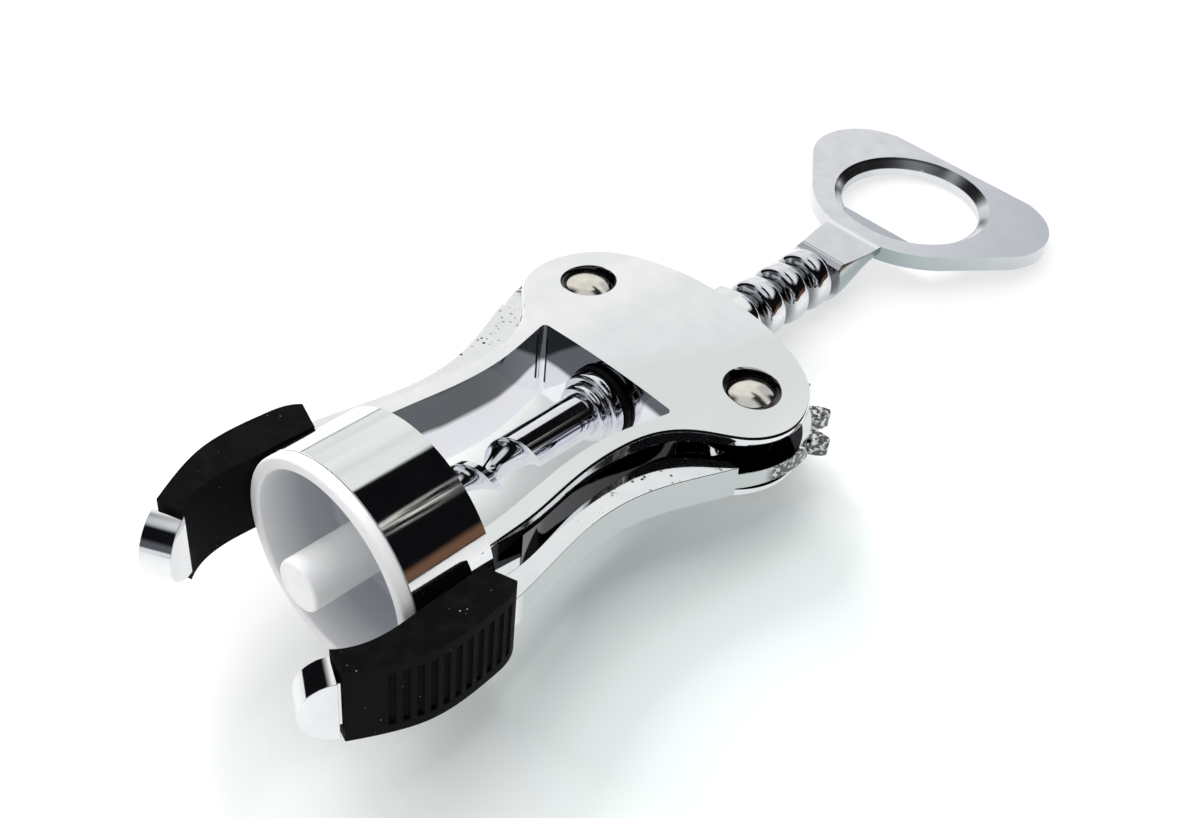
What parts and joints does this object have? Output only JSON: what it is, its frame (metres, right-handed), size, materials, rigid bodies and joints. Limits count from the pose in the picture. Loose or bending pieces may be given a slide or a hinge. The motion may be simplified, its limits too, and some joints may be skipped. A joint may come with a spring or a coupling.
{
  "type": "wing corkscrew",
  "caption": "Wing corkscrew: a screw on a toothed rack, two geared wings that lift it out of a bottle collar, and a turning handle with a bottle opener.",
  "frame": {"origin": "centre of the collar's metal rim, on the tool's axis", "axes": "+Y along the axis from the collar to the turning handle, +Z out of the front face, +X towards the right wing"},
  "size_m": [0.0642, 0.1802, 0.037],
  "materials": {
    "chrome": "bright chrome plating",
    "rivet_steel": "satin nickel",
    "white_plastic": "smooth moulded",
    "milky_plastic": "translucent moulded",
    "black_rubber": "matt ribbed"
  },
  "bodies": {
    "body": {"body_casting": "chrome", "collar_liner": "white_plastic", "right_pivot_rivet": "rivet_steel", "left_pivot_rivet": "rivet_steel"},
    "right_wing": {"right_lever": "chrome", "right_grip": "black_rubber"},
    "left_wing": {"left_lever": "chrome", "left_grip": "black_rubber"},
    "washer": {"stop_washer": "black_rubber"},
    "spindle": {"rack_shaft": "chrome", "stop_collar": "chrome", "worm": "chrome", "worm_pin": "rivet_steel", "opener_handle": "chrome", "handle_pin": "rivet_steel"},
    "guard": {"tip_guard": "milky_plastic"}
  },
  "joints": [
    {"name": "right_wing_swing", "type": "hinge", "parent": "body", "child": "right_wing", "pos_m": [0.0187, 0.07, 0], "axis": [0, 0, 1], "range_deg": [0, 110]},
    {"name": "left_wing_swing", "type": "hinge", "parent": "body", "child": "left_wing", "pos_m": [-0.0187, 0.07, 0], "axis": [0, 0, 1], "range_deg": [-110, 0]},
    {"name": "rack_slide", "type": "slide", "parent": "body", "child": "washer", "axis": [0, -1, 0], "range_m": [0, 0.0244]},
    {"name": "spindle_spin", "type": "hinge", "parent": "washer", "child": "spindle", "pos_m": [0, 0, 0], "axis": [0, 1, 0], "continuous": true},
    {"name": "guard_pull", "type": "slide", "parent": "spindle", "child": "guard", "axis": [0, -1, 0], "range_m": [0, 0.02]}
  ],
  "couplings": [
    {"joint": "left_wing_swing", "follows": "right_wing_swing", "ratio": -1},
    {"joint": "rack_slide", "follows": "right_wing_swing", "m_per_rad": 0.012701}
  ]
}
